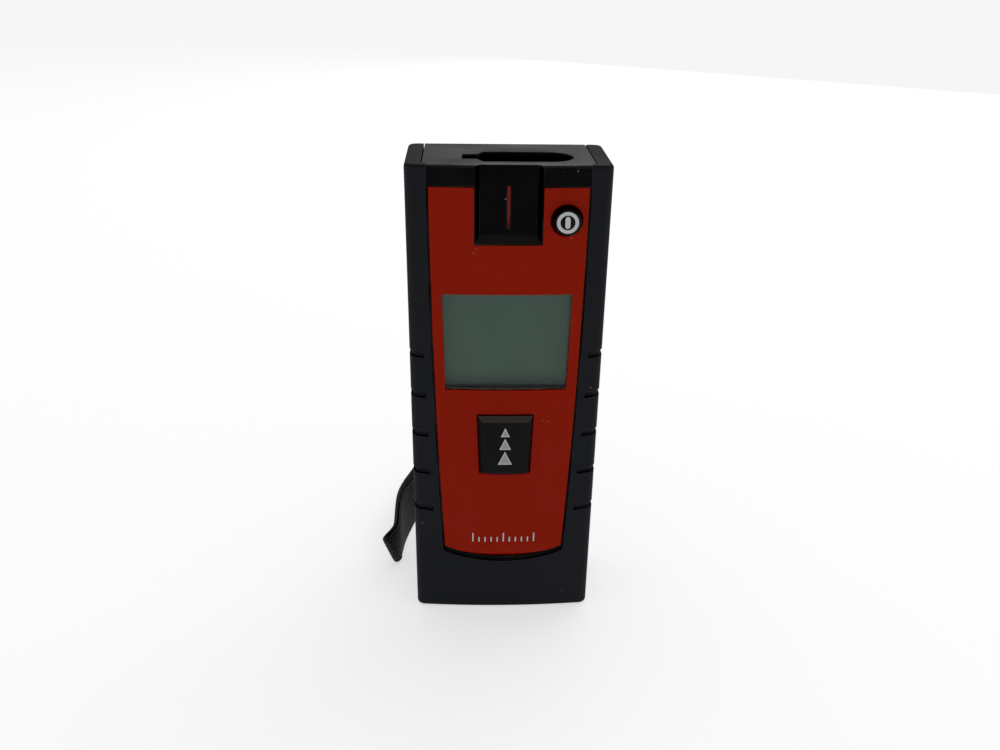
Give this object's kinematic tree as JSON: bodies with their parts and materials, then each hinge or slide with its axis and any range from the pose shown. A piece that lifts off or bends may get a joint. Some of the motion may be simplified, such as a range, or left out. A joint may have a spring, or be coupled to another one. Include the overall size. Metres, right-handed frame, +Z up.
{
  "type": "laser distance meter",
  "caption": "Hand-held laser distance meter with a red face plate, display, two sprung keys, rubber side grips, hinged battery door and wrist strap.",
  "frame": {"origin": "middle of the base on which the instrument stands", "axes": "+Z up along the laser beam, -Y out of the display, +X to the right of a user who looks at the display"},
  "size_m": [0.057, 0.0972, 0.12],
  "materials": {
    "hard_shell": "satin moulded, hard",
    "grip_rubber": "matte, soft-touch",
    "face_paint": "satin red",
    "print_white": "pad printed",
    "sight_paint": "painted line",
    "key_plastic": "fine grained",
    "clear_window": "clear, slightly grey",
    "lcd_face": "unlit liquid crystal, grey green",
    "white_film": "film",
    "silicone": "soft",
    "circuit_board": "solder mask",
    "component_black": "moulded package",
    "component_tan": "ceramic chip",
    "can_metal": "plated can",
    "spring_steel": "nickel plated",
    "screw_steel": "zinc plated, dark",
    "optics_black": "glass filled, dull",
    "lens_glass": "coated",
    "tinted_glass": "dark red tint",
    "barrel_brass": "turned",
    "flex_film": "amber film",
    "cell_jacket": "printed sleeve, plain",
    "webbing": "ribbed woven"
  },
  "bodies": {
    "root": {"battery_tray": "optics_black", "beam_window": "tinted_glass", "board_chips": "component_black", "board_screws": "screw_steel", "bridge_contact": "spring_steel", "buzzer": "component_black", "capacitors": "component_tan", "cell_springs": "spring_steel", "collimator_lens": "lens_glass", "crystal": "can_metal", "display_gasket": "silicone", "display_window": "clear_window", "face_plate": "face_paint", "face_scale": "print_white", "front_grip": "grip_rubber", "front_shell": "hard_shell", "key_seals": "silicone", "laser_barrel": "barrel_brass", "laser_diode": "can_metal", "laser_flex": "flex_film", "lcd_connector": "silicone", "lcd_glass": "lcd_face", "lcd_reflector": "white_film", "left_cell": "cell_jacket", "main_board": "circuit_board", "minus_contact": "spring_steel", "optics_block": "optics_black", "optics_screws": "screw_steel", "photodiode": "component_black", "plus_contact": "spring_steel", "processor": "component_black", "rear_grip": "grip_rubber", "rear_shell": "hard_shell", "receiver_board": "circuit_board", "receiver_flex": "flex_film", "receiver_lens": "lens_glass", "right_cell": "cell_jacket", "shell_screws": "screw_steel", "shell_seal": "silicone", "sight_line": "sight_paint", "strap_pin": "screw_steel", "switch_domes": "spring_steel", "top_cap": "hard_shell", "type_label": "white_film", "window_seal": "silicone", "wrist_strap": "webbing"},
    "measure_button": {"measure_button": "key_plastic", "measure_marks": "print_white"},
    "power_button": {"power_button": "key_plastic", "power_mark": "print_white"},
    "battery_door": {"battery_door": "hard_shell"}
  },
  "joints": [
    {"name": "measure_button_press", "type": "slide", "parent": "root", "child": "measure_button", "axis": [0, 1, 0], "range_m": [0, 0.0006], "stiffness_N_per_m": 3000},
    {"name": "power_button_press", "type": "slide", "parent": "root", "child": "power_button", "axis": [0, 1, 0], "range_m": [0, 0.0006], "stiffness_N_per_m": 3000},
    {"name": "battery_door_hinge", "type": "hinge", "parent": "root", "child": "battery_door", "pos_m": [0, 0.01353, 0.00905], "axis": [-1, 0, 0], "range_deg": [0, 70]}
  ]
}
